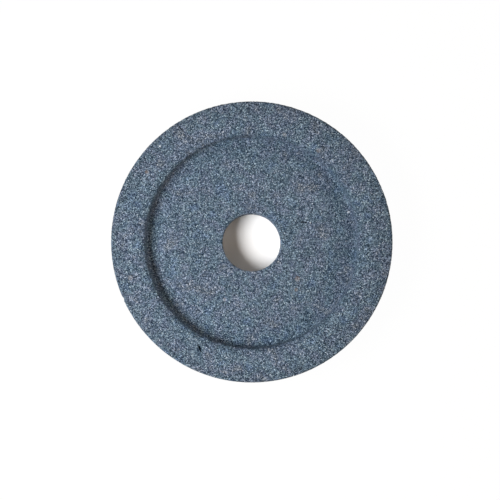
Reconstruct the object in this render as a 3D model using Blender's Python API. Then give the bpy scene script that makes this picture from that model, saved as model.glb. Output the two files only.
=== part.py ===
# A grinding wheel with one recessed face and a plain bore, pressed and fired as one piece.
# It lies on its flat back, with the recess up. The origin is on the bore's axis, at the back face.
# Lengths are in metres and angles in degrees. Radii run out from the axis, heights up from the back.

import math

import bmesh
import bpy

# The wheel
OUTER_DIAMETER = 0.1524
THICKNESS = 0.01905
BORE_DIAMETER = 0.03175
RIM_EDGE_RADIUS = 0.0009
BORE_EDGE_RADIUS = 0.0005

# The recess: a flat seat in the middle, an eased shoulder, a round gutter, a steep wall and a rolled lip
RECESS_DIAMETER = 0.1252  # inner edge of the flat rim face, where the lip starts to roll down
ROLL_RADIUS = 0.0101  # the slow curve that leaves the rim face
ROLL_ANGLE = 22.0  # how far that curve turns before the tight one takes over
LIP_RADIUS = 0.0017
WALL_DRAFT = 10.0  # off the vertical
RECESS_DEPTH = 0.0073  # rim face to the bottom of the gutter
GUTTER_RADIUS = 0.0019
SEAT_DIAMETER = 0.08
SEAT_DEPTH = 0.00635  # rim face to the seat that a flange clamps on

# How finely the round stretches are divided
TURN_STEPS = 120
EDGE_STEPS = 3
BREAK_STEPS = 2
ROLL_STEPS = 3
LIP_STEPS = 4
GUTTER_STEPS = 5
SHOULDER_STEPS = 8
SMOOTH_ANGLE = 32.0

# The fired blend of grey-blue grain and bond, as a mean colour in linear light
STONE_COLOUR = (0.127, 0.171, 0.227, 1.0)
STONE_ROUGHNESS = 0.95


def clear_scene():
    for old in list(bpy.data.objects):
        bpy.data.objects.remove(old, do_unlink=True)


def arc(centre, radius, start, end, steps):
    # Points of the section along an arc: 0 degrees points away from the axis, 90 points up.
    angles = [math.radians(start + (end - start) * i / steps) for i in range(steps + 1)]
    return [(centre[0] + radius * math.cos(a), centre[1] + radius * math.sin(a)) for a in angles]


def outer_edges(radius):
    # The back's round edge, the straight rim, and the rim face's round edge.
    inset = radius - RIM_EDGE_RADIUS
    lower = arc((inset, RIM_EDGE_RADIUS), RIM_EDGE_RADIUS, -90, 0, EDGE_STEPS)
    upper = arc((inset, THICKNESS - RIM_EDGE_RADIUS), RIM_EDGE_RADIUS, 0, 90, EDGE_STEPS)
    return lower + upper


def rolled_lip(radius):
    # A slow curve off the rim face, then a tight one that is tangent to it and to the wall below.
    roll_end = 90 + ROLL_ANGLE
    slow_centre = (radius, THICKNESS - ROLL_RADIUS)
    slow = arc(slow_centre, ROLL_RADIUS, 90, roll_end, ROLL_STEPS)
    tight_centre = arc(slow_centre, ROLL_RADIUS - LIP_RADIUS, roll_end, roll_end, 1)[0]
    tight = arc(tight_centre, LIP_RADIUS, roll_end, 180 - WALL_DRAFT, LIP_STEPS)
    return slow + tight[1:]


def gutter(wall_top):
    # The straight wall runs down from its top and meets this concave arc, which ends at the
    # recess's lowest point.
    draft = math.radians(WALL_DRAFT)
    lowest = THICKNESS - RECESS_DEPTH
    wall_foot_height = lowest + GUTTER_RADIUS * (1 - math.sin(draft))
    wall_foot_radius = wall_top[0] - (wall_top[1] - wall_foot_height) * math.tan(draft)
    centre = (wall_foot_radius - GUTTER_RADIUS * math.cos(draft), lowest + GUTTER_RADIUS)
    return arc(centre, GUTTER_RADIUS, -WALL_DRAFT, -90, GUTTER_STEPS)


def shoulder(gutter_radius, seat_radius):
    # The floor rises from the gutter to the seat in one easy curve that is level at both ends.
    lowest = THICKNESS - RECESS_DEPTH
    rise = RECESS_DEPTH - SEAT_DEPTH
    points = []
    for i in range(1, SHOULDER_STEPS + 1):
        t = i / SHOULDER_STEPS
        radius = gutter_radius + (seat_radius - gutter_radius) * t
        points.append((radius, lowest + rise * t * t * (3 - 2 * t)))
    return points


def bore_edge(radius, height, start):
    # A small round break where the bore meets a face: below its centre at the back, above it at the seat.
    centre_height = height + BORE_EDGE_RADIUS if start == 180 else height - BORE_EDGE_RADIUS
    return arc((radius + BORE_EDGE_RADIUS, centre_height), BORE_EDGE_RADIUS, start, start + 90, BREAK_STEPS)


def section():
    # The wheel's closed half section, once round from the bore's edge at the back.
    bore_radius = BORE_DIAMETER / 2
    lip_points = rolled_lip(RECESS_DIAMETER / 2)
    gutter_points = gutter(lip_points[-1])
    return (
        bore_edge(bore_radius, 0.0, 180)
        + outer_edges(OUTER_DIAMETER / 2)
        + lip_points
        + gutter_points
        + shoulder(gutter_points[-1][0], SEAT_DIAMETER / 2)
        + bore_edge(bore_radius, THICKNESS - SEAT_DEPTH, 90)
    )


def turned_mesh(name, outline):
    # The outline turned once round the vertical axis.
    bm = bmesh.new()
    verts = [bm.verts.new((radius, 0.0, height)) for radius, height in outline]
    edges = [bm.edges.new((a, b)) for a, b in zip(verts, verts[1:] + verts[:1])]
    bmesh.ops.spin(
        bm,
        geom=verts + edges,
        cent=(0, 0, 0),
        axis=(0, 0, 1),
        angle=2 * math.pi,
        steps=TURN_STEPS,
        use_merge=True,
    )
    bmesh.ops.recalc_face_normals(bm, faces=bm.faces)
    mesh = bpy.data.meshes.new(name)
    bm.to_mesh(mesh)
    bm.free()
    mesh.shade_smooth()
    mesh.set_sharp_from_angle(angle=math.radians(SMOOTH_ANGLE))
    return mesh


def stone_material():
    material = bpy.data.materials.new("vitrified abrasive")
    material.use_nodes = True
    shader = material.node_tree.nodes["Principled BSDF"]
    shader.inputs["Base Color"].default_value = STONE_COLOUR
    shader.inputs["Roughness"].default_value = STONE_ROUGHNESS
    shader.inputs["Metallic"].default_value = 0.0
    material.diffuse_color = STONE_COLOUR
    return material


def grinding_wheel():
    mesh = turned_mesh("grinding_wheel", section())
    mesh.materials.append(stone_material())
    wheel = bpy.data.objects.new("grinding_wheel", mesh)
    bpy.context.scene.collection.objects.link(wheel)
    return wheel


clear_scene()
grinding_wheel()
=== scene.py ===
# A grinding wheel with one recessed face, dressed as grey-blue fired stone on a plain white table.
# Lengths in this script are millimetres and mm turns them into Blender's metres. Angles are degrees.

import math

import bmesh
import bpy
import numpy as np
from mathutils import Euler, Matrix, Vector


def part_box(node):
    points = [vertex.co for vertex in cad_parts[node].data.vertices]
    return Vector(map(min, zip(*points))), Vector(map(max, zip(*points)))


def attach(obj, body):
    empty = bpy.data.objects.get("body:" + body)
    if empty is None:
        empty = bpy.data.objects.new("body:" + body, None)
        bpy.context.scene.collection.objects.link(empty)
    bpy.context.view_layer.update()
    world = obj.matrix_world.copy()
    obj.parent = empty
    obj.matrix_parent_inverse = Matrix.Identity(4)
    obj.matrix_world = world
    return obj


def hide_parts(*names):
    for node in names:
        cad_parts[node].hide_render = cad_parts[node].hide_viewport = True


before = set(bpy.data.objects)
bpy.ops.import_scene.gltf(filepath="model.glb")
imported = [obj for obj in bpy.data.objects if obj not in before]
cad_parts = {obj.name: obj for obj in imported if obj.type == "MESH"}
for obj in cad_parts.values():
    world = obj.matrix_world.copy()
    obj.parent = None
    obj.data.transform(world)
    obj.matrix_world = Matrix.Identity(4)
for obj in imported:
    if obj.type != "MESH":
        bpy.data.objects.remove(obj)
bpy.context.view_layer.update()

mm = 0.001
fullTurn = 2 * math.pi
chance = np.random.default_rng(36)  # the one seeded source of everything that looks random

low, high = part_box("grinding_wheel")
wheelRadius = (high.x - low.x) / 2 / mm
thickness = (high.z - low.z) / mm

# Where the photograph shows the wheel, in its pixels, and how far off straight above it was taken
photo = dict(
    side=500,
    middle=(251.36, 241.27),
    radius=140.93,
    fromBottom=3.4,         # degrees towards the photograph's bottom
    fromLeft=1.1,           # and towards its left
)
pixel = wheelRadius / photo["radius"]  # mm of the rim face in one pixel
turn = Euler((math.radians(photo["fromBottom"]), -math.radians(photo["fromLeft"]), 0))
toCamera = turn.to_matrix() @ Vector((0, 0, 1))


def fromPhoto(place, height=thickness):
    # The point across the wheel, in mm from its axis, that a pixel shows on a face at that height
    across = (place[0] - photo["middle"][0]) * pixel
    up = (photo["middle"][1] - place[1]) * pixel
    return Vector((across, up)) - toCamera.xy * (thickness - height)


def added(name, data):
    # A new object of the scene
    piece = bpy.data.objects.new(name, data)
    bpy.context.scene.collection.objects.link(piece)
    return piece


# The wheel's section, read from the node that the stone stands for

fineness = 3  # decimals of a millimetre that tell two corners apart


def sectionOf(node):
    # Its corners in one half plane through the axis, once round from the bore's foot
    points = {
        (round(v.co.x / mm, fineness), round(v.co.z / mm, fineness))
        for v in node.data.vertices
        if v.co.x > 0 and abs(v.co.y) < 10 ** -fineness * mm
    }
    lower = sorted(p for p in points if p[1] < thickness / 2)
    upper = sorted((p for p in points if p[1] >= thickness / 2), reverse=True)
    return np.array(lower + upper + lower[:1])


corners = sectionOf(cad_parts["grinding_wheel"])
along = np.r_[0, np.cumsum(np.hypot(*np.diff(corners, axis=0).T))]  # mm walked to each corner
boreRadius = corners[:, 0].min()
seatHeight = corners[corners[:, 0] > 2 * boreRadius][-1, 1]  # the last corner out there is the seat's edge
print("frame: a wheel", round(2 * wheelRadius, 1), "mm across, its section has", len(corners) - 1, "corners")


def outline(walked):
    # Radius and height after so many mm round the section
    walked = walked % along[-1]
    return np.interp(walked, along, corners[:, 0]), np.interp(walked, along, corners[:, 1])


# The stone's shape: one closed skin whose points stand up and down as the grain does

wheel = dict(
    spacing=0.7,            # between neighbouring points
    stray=0.32,             # how far a point strays, as a share of the spacing
    ringTurn=0.3,           # how far a whole ring of points is turned, as a share of the spacing
    grainHeight=0.045,      # how unevenly the grains stand
    proudest=0.10,          # the tallest grain
    poreShare=0.05,         # share of the points that lie in an open pore
    poreDepth=(0.10, 0.30),
    nickCount=90,           # small nicks along the edges
    nickSize=(0.7, 1.6),
    nickDepth=(0.06, 0.26),
    markCuts=2,             # how many times an edge of the skin is cut round a mark
    markSkin=1,             # how far below a face its skin is still looked for
    markSteepness=4,        # a higher power gives a mark a flatter floor and steeper walls
    markFloor=(0.8, 1.1),   # how uneven that floor is, as shares of the mark's depth
)

# Marks that the photograph shows: a pit in the rim face and two flecks on the seat.
# Each is a hollow pressed into the face, and the stone's colour is multiplied by its tone; in the pit that
# tone is painted shade darkening its hollow.
# the first of these tones is painted shade for the pit's hollow, the second is the flecks' tone
pitShade, sooty = (0.55, 0.64, 0.72), (0.12, 0.14, 0.15)
marks = [
    dict(pixel=(199.3, 348.0), height=thickness, lean=-71, length=3.8, width=1.35, depth=1.4, tone=pitShade),
    dict(pixel=(302.3, 221.7), height=seatHeight, lean=-5, length=1.7, width=1.1, depth=0.3, tone=sooty),
    dict(pixel=(305.5, 222.3), height=seatHeight, lean=-20, length=1.5, width=1.0, depth=0.3, tone=sooty),
]

# The worn step in the outline, low on the left; reach is how many times its size it runs down the rim
rimNick = dict(pixel=(123.9, 297.6), size=2.4, depth=0.9, reach=15)


def stitched(first, firstStart, second, secondStart):
    # Triangles between two rings of angles, each ring's points taken in turn round the axis
    ends = np.r_[first[1:], first[0] + fullTurn, second[1:], second[0] + fullTurn]
    order = np.argsort(ends, kind="stable")
    onFirst = order < len(first)
    firstStep = np.cumsum(onFirst) - onFirst
    secondStep = np.cumsum(~onFirst) - ~onFirst
    here = firstStart + firstStep % len(first)
    there = secondStart + secondStep % len(second)
    nextHere = firstStart + (firstStep + 1) % len(first)
    nextThere = secondStart + (secondStep + 1) % len(second)
    return np.c_[here, np.where(onFirst, nextHere, nextThere), there]


def grainRing(walked):
    # The points of one ring, so many mm round the section, and the angles that they stand at
    spacing = wheel["spacing"]
    count = round(fullTurn * outline(walked)[0] / spacing)
    stray = chance.uniform(-wheel["stray"], wheel["stray"], (2, count))
    ringTurn = wheel["ringTurn"] * chance.uniform(-1, 1)
    angles = (np.arange(count) + 0.5 + stray[0] + ringTurn) * fullTurn / count
    places = walked + stray[1] * spacing
    radius, height = outline(places)
    ahead, behind = outline(places + spacing / 2), outline(places - spacing / 2)
    outward = np.array([ahead[1] - behind[1], behind[0] - ahead[0]])
    outward /= np.hypot(*outward)
    stands = np.minimum(chance.normal(0, wheel["grainHeight"], count), wheel["proudest"])
    inPore = chance.uniform(size=count) < wheel["poreShare"]
    stands -= inPore * chance.uniform(*wheel["poreDepth"], count)
    radius = radius + outward[0] * stands
    height = np.maximum(height + outward[1] * stands, 0)
    return np.c_[radius * np.cos(angles), radius * np.sin(angles), height], angles


def grainPoints():
    # The skin's points, ring after ring round the section, and the triangles between the rings
    ringCount = round(along[-1] / wheel["spacing"])
    rings = [grainRing(ring * along[-1] / ringCount) for ring in range(ringCount)]
    points, angles = zip(*rings)
    starts = np.cumsum([0] + [len(ring) for ring in points])
    faces = [
        stitched(angles[k], starts[k], angles[(k + 1) % ringCount], starts[(k + 1) % ringCount])
        for k in range(ringCount)
    ]
    return np.vstack(points), np.vstack(faces)


def nick(points, centre, size, depth, reach=1):
    # Wears the points near an edge in towards the wheel's middle; reach stretches the nick up and down
    away = (points - centre) / (1, 1, reach)
    share = np.clip(1 - (away ** 2).sum(1) / (size / 2) ** 2, 0, 1)
    offAxis = np.hypot(centre[0], centre[1])
    inward = np.array([-centre[0] / offAxis, -centre[1] / offAxis, -1 if centre[2] > thickness / 2 else 1])
    if offAxis < wheelRadius / 2:  # the bore's edge wears outwards
        inward[:2] *= -1
    points += share[:, None] * inward * depth


def nickEdges(points):
    edges = [(wheelRadius, thickness), (wheelRadius, 0), (boreRadius, seatHeight)]
    lengths = np.array([radius for radius, _ in edges])
    for _ in range(wheel["nickCount"]):
        radius, height = edges[chance.choice(len(edges), p=lengths / lengths.sum())]
        angle = chance.uniform(0, fullTurn)
        centre = np.array([radius * np.cos(angle), radius * np.sin(angle), height])
        nick(points, centre, chance.uniform(*wheel["nickSize"]), chance.uniform(*wheel["nickDepth"]))
    place = fromPhoto(rimNick["pixel"]).normalized() * wheelRadius
    centre = np.array([place.x, place.y, thickness])
    nick(points, centre, rimNick["size"], rimNick["depth"], rimNick["reach"])


def pressMark(body, mark):
    # Divides the skin finely round a mark, then presses the hollow into it
    centre = fromPhoto(mark["pixel"], mark["height"])
    lean = math.radians(mark["lean"])
    axis = Vector((math.cos(lean), math.sin(lean)))

    def across(v):
        # 0 in the middle of the mark and 1 at its outline
        gap = Vector((v.co.x / mm, v.co.y / mm)) - centre
        return math.hypot(gap.dot(axis) * 2 / mark["length"], gap.cross(axis) * 2 / mark["width"])

    def close(v):
        onFace = v.co.z / mm > mark["height"] - wheel["markSkin"]
        return onFace and (Vector((v.co.x / mm, v.co.y / mm)) - centre).length < mark["length"]

    edges = [e for e in body.edges if close(e.verts[0]) and close(e.verts[1])]
    bmesh.ops.subdivide_edges(body, edges=edges, cuts=wheel["markCuts"], use_grid_fill=True)
    bmesh.ops.triangulate(body, faces=[f for f in body.faces if len(f.verts) > 3])
    for v in body.verts:
        if close(v) and across(v) < 1:
            hollow = mark["depth"] * (1 - across(v) ** wheel["markSteepness"])
            v.co.z -= hollow * mm * chance.uniform(*wheel["markFloor"])


def stonePiece(finish):
    points, faces = grainPoints()
    nickEdges(points)
    mesh = bpy.data.meshes.new("wheelStone")
    mesh.from_pydata((points * mm).tolist(), [], faces.tolist())
    body = bmesh.new()
    body.from_mesh(mesh)
    for mark in marks:
        pressMark(body, mark)
    body.to_mesh(mesh)
    body.free()
    mesh.materials.append(finish)
    mesh.shade_flat()
    return added("wheelStone", mesh)


# Shader maths

class Shade:
    # A shader socket that can stand in a sum: each operator adds a Math node
    def __init__(self, nodes, socket):
        self.nodes, self.socket = nodes, socket

    def maths(self, operation, first, second):
        return self.nodes.add("ShaderNodeMath", dict(operation=operation), {0: first, 1: second})

    def __add__(self, other):
        return self.maths("ADD", self, other)

    def __sub__(self, other):
        return self.maths("SUBTRACT", self, other)

    def __rsub__(self, other):
        return self.maths("SUBTRACT", other, self)

    def __mul__(self, other):
        return self.maths("MULTIPLY", self, other)

    __radd__ = __add__
    __rmul__ = __mul__

    def orMore(self, other):
        # the larger of the two
        return self.maths("MAXIMUM", self, other)

    def between(self, low, high):
        # low where this is 0 and high where it is 1
        return low + self * (high - low)

    def output(self, name):
        # another output of the same node
        return Shade(self.nodes, self.socket.node.outputs[name])


class Nodes:
    # The node tree of a material or of the world
    def __init__(self, owner):
        owner.use_nodes = True
        self.tree = owner.node_tree
        self.tree.nodes.clear()

    def add(self, kind, settings=None, sockets=None, output=0):
        # One node: its settings first, then its sockets' values or links
        node = self.tree.nodes.new(kind)
        for name, value in (settings or {}).items():
            if name == "stops":
                self.setRamp(node.color_ramp, value)
            else:
                setattr(node, name, value)
        for name, value in (sockets or {}).items():
            if isinstance(value, Shade):
                self.tree.links.new(value.socket, node.inputs[name])
            else:
                node.inputs[name].default_value = value
        return Shade(self, node.outputs[output]) if len(node.outputs) else None

    def setRamp(self, ramp, stops):
        ramp.elements[1].position = 1
        for position, colour in stops[1:-1]:
            ramp.elements.new(position)
        for element, (position, colour) in zip(ramp.elements, stops):
            element.position = position
            element.color = (*colour, 1)

    def ramp(self, value, stops):
        return self.add("ShaderNodeValToRGB", dict(stops=stops), {0: value})

    def grey(self, value):
        return self.add("ShaderNodeCombineColor", {}, {0: value, 1: value, 2: value})

    def vector(self, operation, first, second, output="Vector"):
        return self.add("ShaderNodeVectorMath", dict(operation=operation), {0: first, 1: second}, output)

    def length(self, vector):
        return self.add("ShaderNodeVectorMath", dict(operation="LENGTH"), {0: vector}, "Value")

    def mix(self, share, first, second, blend="MIX"):
        settings = dict(data_type="RGBA", blend_type=blend)
        return self.add("ShaderNodeMix", settings, {0: share, 6: first, 7: second}, 2)

    def smooth(self, value, start, end):
        # 0 before start, 1 after end, and an easy rise between
        sockets = {"Value": value, "From Min": start, "From Max": end}
        return self.add("ShaderNodeMapRange", dict(interpolation_type="SMOOTHSTEP"), sockets)

    def cells(self, place, size, unevenness, feature="F1"):
        sockets = {"Vector": place, "Scale": 1 / (size * mm), "Randomness": unevenness}
        return self.add("ShaderNodeTexVoronoi", dict(feature=feature), sockets)

    def noise(self, place, size, detail=2.0, output="Fac"):
        sockets = {"Vector": place, "Scale": 1 / (size * mm), "Detail": detail}
        return self.add("ShaderNodeTexNoise", {}, sockets, output)


# The stone's finish

stone = dict(
    grainSize=0.46,         # across one grain
    unevenness=0.85,        # 1 scatters the grains, 0 sets them in rows
    wobble=0.16,            # how far a grain's outline wanders
    wobbleSize=0.6,         # size of the noise that it wanders by
    bond=(0.02, 0.16),      # width of the dark bond round a grain, as shares of the grain
    bondShade=0.55,
    crumb=0.2,              # size of the crumbs inside a grain
    crumbShade=(0.76, 1.24),
    clump=1.7,              # across a clump of grains
    clumpGap=(0.0, 0.35),   # width of the darker gap round a clump, as shares of it
    clumpShade=(0.81, 1.035),
    mottle=9.0,             # size of the faint clouds of brightness
    mottleShade=(0.9, 1.1),
    driftSize=8.0,          # across the faint patches of hue
    driftColours=[
        (0.30, (0.92, 0.99, 1.10)),
        (0.42, (0.96, 1.015, 0.98)),
        (0.50, (1.00, 1.00, 1.00)),
        (0.58, (1.03, 0.985, 1.04)),
        (0.70, (1.12, 1.00, 0.93)),
    ],
    outward=[               # how its tone changes outwards, by the distance from the axis: partly the stone's own tone and partly painted shade, darker on the recess's shoulder, darkest on its wall and darker again towards the rim
        (0.0, (1.00, 1.00, 1.00)),
        (44.0, (1.00, 1.00, 1.00)),
        (49.0, (0.95, 0.98, 1.00)),
        (55.0, (0.94, 0.97, 0.99)),
        (57.3, (0.80, 0.83, 0.86)),
        (58.5, (0.82, 0.85, 0.87)),
        (60.0, (1.00, 1.01, 1.01)),
        (63.0, (0.99, 0.99, 0.99)),
        (68.0, (0.94, 0.94, 0.94)),
        (75.0, (0.85, 0.84, 0.83)),
        (wheelRadius, (0.83, 0.82, 0.81)),
    ],
    tilt=0.27,              # how much the grains' faces lean
    grainDome=0.03,         # how far a grain's middle stands over its edge
    domeEdge=(0.0, 0.35),   # where the dome rises, as shares of the grain from its edge
    crumbHeight=0.012,
    gloss=0.1,
    dryness=(0.5, 0.95),    # roughness of the glossiest and the dullest grain
    grainColours=[
        (0.00, (0.010, 0.021, 0.040)),
        (0.20, (0.035, 0.060, 0.097)),
        (0.50, (0.092, 0.137, 0.197)),
        (0.80, (0.186, 0.255, 0.343)),
        (0.95, (0.294, 0.378, 0.480)),
        (1.00, (0.465, 0.550, 0.645)),
    ],
    meanColour=(0.127, 0.171, 0.227, 1),  # what Blender's plain view shows
    spotFade=(0.8, 1.2),    # where a mark's tone fades out, as shares of its half width
    spotReach=2,            # how far above and below the face the tone reaches
)

# Warm patches and single pale grains, where the photograph shows them; their tone is added
tan, sandy, pale = (0.07, 0.045, 0.025), (0.07, 0.06, 0.05), (0.34, 0.36, 0.38)
specks = [
    dict(pixel=(297, 279), height=seatHeight, size=2.8, tone=tan),
    dict(pixel=(295.7, 290), height=seatHeight, size=1.9, tone=tan),
    dict(pixel=(318, 150), height=thickness, size=2.4, tone=sandy),
    dict(pixel=(284, 134), height=thickness, size=2.1, tone=sandy),
    dict(pixel=(130, 278), height=thickness, size=2.8, tone=sandy),
    dict(pixel=(224, 300), height=seatHeight, size=2.0, tone=tan),
    dict(pixel=(146, 172), height=thickness, size=2.2, tone=tan),
    dict(pixel=(159, 146), height=thickness, size=1.1, tone=pale),
    dict(pixel=(348.6, 211.4), height=seatHeight, size=1.3, tone=pale),
    dict(pixel=(310, 222.5), height=seatHeight, size=0.8, tone=pale),
]


def spot(nodes, place, colour, mark, blend):
    # The colour so far, blended with the mark's tone inside its oval and near the face
    centre = fromPhoto(mark["pixel"], mark["height"])
    oval = nodes.add("ShaderNodeMapping", dict(vector_type="TEXTURE"), {
        "Vector": place,
        "Location": (centre.x * mm, centre.y * mm, mark["height"] * mm),
        "Rotation": (0, 0, math.radians(mark["lean"])),
        "Scale": (mark["length"] / 2 * mm, mark["width"] / 2 * mm, stone["spotReach"] * mm),
    })
    inside = 1 - nodes.smooth(nodes.length(oval), *stone["spotFade"])
    toned = nodes.mix(1.0, colour, (*mark["tone"], 1), blend)
    return nodes.mix(inside, colour, toned)


def stoneColour(nodes, place, own, edge, crumbs):
    # Each grain has its own shade, with dark bond between the grains; clumps, clouds, patches of hue
    # and the change of tone outwards, which is partly painted shade on the recess's wall and towards the
    # rim, lie over them
    shade = nodes.smooth(edge, *stone["bond"]).between(stone["bondShade"], 1)
    shade = shade * crumbs.between(*stone["crumbShade"])
    clumpEdge = nodes.cells(place, stone["clump"], stone["unevenness"], "DISTANCE_TO_EDGE")
    shade = shade * nodes.smooth(clumpEdge, *stone["clumpGap"]).between(*stone["clumpShade"])
    shade = shade * nodes.noise(place, stone["mottle"]).between(*stone["mottleShade"])
    hue = nodes.ramp(nodes.noise(place, stone["driftSize"]), stone["driftColours"])
    # the tone by distance from the axis is partly painted shade: darkest on the recess's wall and darker
    # towards the rim
    outward = nodes.length(nodes.vector("MULTIPLY", place, (1, 1, 0))) * (1 / (wheelRadius * mm))
    toneAndPaintedShade = [(radius / wheelRadius, tone) for radius, tone in stone["outward"]]

    colour = nodes.ramp(own, stone["grainColours"])
    for layer in (nodes.grey(shade), hue, nodes.ramp(outward, toneAndPaintedShade)):
        colour = nodes.mix(1.0, colour, layer, "MULTIPLY")
    # the pit's darker tone is painted shade inside its hollow
    for mark in marks:
        colour = spot(nodes, place, colour, mark, "MULTIPLY")
    for speck in specks:
        disc = dict(speck, lean=0, length=speck["size"], width=speck["size"])
        colour = spot(nodes, place, colour, disc, "ADD")
    return colour


def stoneRelief(nodes, jostled, grains, edge, crumbs):
    # Each grain's face leans its own way and is domed a little, and the crumbs roughen it
    offset = nodes.vector("SUBTRACT", jostled, grains.output("Position"))
    leaning = nodes.vector("SUBTRACT", grains.output("Color"), (0.5, 0.5, 0.5))
    height = nodes.vector("DOT_PRODUCT", offset, leaning, "Value") * stone["tilt"]
    height = height + nodes.smooth(edge, *stone["domeEdge"]) * (stone["grainDome"] * mm)
    height = height + crumbs * (stone["crumbHeight"] * mm)
    return nodes.add("ShaderNodeBump", {}, {"Strength": 1.0, "Distance": 1.0, "Height": height})


def stoneFinish():
    material = bpy.data.materials.new("firedStone")
    nodes = Nodes(material)
    place = nodes.add("ShaderNodeTexCoord", output="Object")
    wander = nodes.noise(place, stone["wobbleSize"], 1.0, "Color")
    scaled = {0: wander, "Scale": stone["wobble"] * mm}
    jostled = nodes.vector("ADD", place, nodes.add("ShaderNodeVectorMath", dict(operation="SCALE"), scaled))
    grains = nodes.cells(jostled, stone["grainSize"], stone["unevenness"])
    edge = nodes.cells(jostled, stone["grainSize"], stone["unevenness"], "DISTANCE_TO_EDGE")
    own = nodes.add("ShaderNodeSeparateColor", {}, {0: grains.output("Color")})
    crumbs = nodes.noise(place, stone["crumb"])
    shader = nodes.add("ShaderNodeBsdfPrincipled", {}, {
        "Base Color": stoneColour(nodes, place, own, edge, crumbs),
        "Roughness": own.output("Green").between(*stone["dryness"]),
        "Specular IOR Level": stone["gloss"],
        "Normal": stoneRelief(nodes, jostled, grains, edge, crumbs),
    })
    nodes.add("ShaderNodeOutputMaterial", {}, {"Surface": shader})
    material.diffuse_color = stone["meanColour"]
    return material


stonePart = stonePiece(stoneFinish())
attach(stonePart, "root")
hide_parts("grinding_wheel")
print("stone:", len(stonePart.data.vertices), "points,", len(stonePart.data.polygons), "faces")


# The table, the light and the camera

table = dict(
    side=4000,
    drop=0.02,              # how far the table lies under the back face
    paleness=0.8,           # what the table gives back to the wheel
    seenPaleness=0.95,      # the same as the camera sees it
    haze=0.98,              # share of plain white that the camera sees beyond the wheel
    hazeFrom=(60, 72),      # radii between which that share sets in
)

# Soft oval lamps, each placed by its azimuth and elevation from the rim face's middle; power is in watts
lamps = [
    dict(name="key", towards=201, elevation=43.5, distance=600,
         size=(420, 290), power=6.0, colour=(1.0, 1.0, 1.0)),
    dict(name="right", towards=345, elevation=21, distance=1200,
         size=(420, 420), power=5.3, colour=(1.15, 1.0, 0.85)),
    dict(name="top", towards=80, elevation=27, distance=500,
         size=(200, 200), power=0.38, colour=(1.0, 1.0, 1.0)),
]

room = dict(
    light=0.144,            # the plain light from all round
    colour=(1.28, 1.0, 0.72, 1),
)

camera = dict(
    distance=1200,          # from the rim face
    sensor=36,
    clip=(10, 20000),
)

plainWhite = {"Color": (1, 1, 1, 1), "Strength": 1.0}


def seenWhite(nodes):
    # 1 for rays that show the background: the camera's own, and those off gloss or through glass
    ray = nodes.add("ShaderNodeLightPath", output="Is Camera Ray")
    return ray.orMore(ray.output("Is Glossy Ray")).orMore(ray.output("Is Transmission Ray"))


def tableFinish():
    material = bpy.data.materials.new("whiteTable")
    nodes = Nodes(material)
    seen = seenWhite(nodes)
    paleness = nodes.grey(seen.between(table["paleness"], table["seenPaleness"]))
    matt = nodes.add("ShaderNodeBsdfDiffuse", {}, {"Color": paleness})
    white = nodes.add("ShaderNodeEmission", {}, plainWhite)
    reach = nodes.length(nodes.add("ShaderNodeTexCoord", output="Object"))
    start, end = (radius * mm for radius in table["hazeFrom"])
    share = nodes.smooth(reach, start, end) * seen * table["haze"]
    both = nodes.add("ShaderNodeMixShader", {}, {0: share, 1: matt, 2: white})
    nodes.add("ShaderNodeOutputMaterial", {}, {"Surface": both})
    return material


def tablePiece():
    half = table["side"] / 2 * mm
    square = [(-half, -half, 0), (half, -half, 0), (half, half, 0), (-half, half, 0)]
    mesh = bpy.data.meshes.new("tableTop")
    mesh.from_pydata(square, [], [(0, 1, 2, 3)])
    mesh.materials.append(tableFinish())
    piece = added("tableTop", mesh)
    piece.location.z = -table["drop"] * mm
    return piece


def lampPiece(lamp):
    data = bpy.data.lights.new(lamp["name"] + "Lamp", "AREA")
    data.shape = "ELLIPSE"
    data.size, data.size_y = (side * mm for side in lamp["size"])
    data.energy = lamp["power"]
    data.color = lamp["colour"]
    azimuth, elevation = math.radians(lamp["towards"]), math.radians(lamp["elevation"])
    towards = Vector((
        math.cos(azimuth) * math.cos(elevation),
        math.sin(azimuth) * math.cos(elevation),
        math.sin(elevation),
    ))
    piece = added(lamp["name"] + "Lamp", data)
    piece.location = (Vector((0, 0, thickness)) + towards * lamp["distance"]) * mm
    piece.rotation_euler = towards.to_track_quat("Z", "Y").to_euler()
    piece.visible_camera = False


def worldLight():
    world = bpy.data.worlds.new("plainRoom")
    nodes = Nodes(world)
    plain = nodes.add("ShaderNodeBackground", {}, {"Color": room["colour"], "Strength": room["light"]})
    white = nodes.add("ShaderNodeBackground", {}, plainWhite)
    both = nodes.add("ShaderNodeMixShader", {}, {0: seenWhite(nodes), 1: plain, 2: white})
    nodes.add("ShaderNodeOutputWorld", {}, {"Surface": both})
    bpy.context.scene.world = world


def cameraPiece():
    data = bpy.data.cameras.new("overhead")
    data.sensor_width = camera["sensor"]
    data.lens = camera["sensor"] * camera["distance"] / (photo["side"] * pixel)
    data.clip_start, data.clip_end = (reach * mm for reach in camera["clip"])
    middle = (photo["side"] - 1) / 2
    aim = fromPhoto((middle, middle))
    aim += toCamera.xy * wheelRadius ** 2 / camera["distance"]  # the near half of the outline looks larger
    piece = added("overhead", data)
    piece.location = (Vector((aim.x, aim.y, thickness)) + toCamera * camera["distance"]) * mm
    piece.rotation_euler = turn
    bpy.context.scene.camera = piece


tablePiece()
for lamp in lamps:
    lampPiece(lamp)
worldLight()
cameraPiece()
bpy.context.scene.view_settings.view_transform = "Standard"
print("table, lamps, room light and camera are in place")
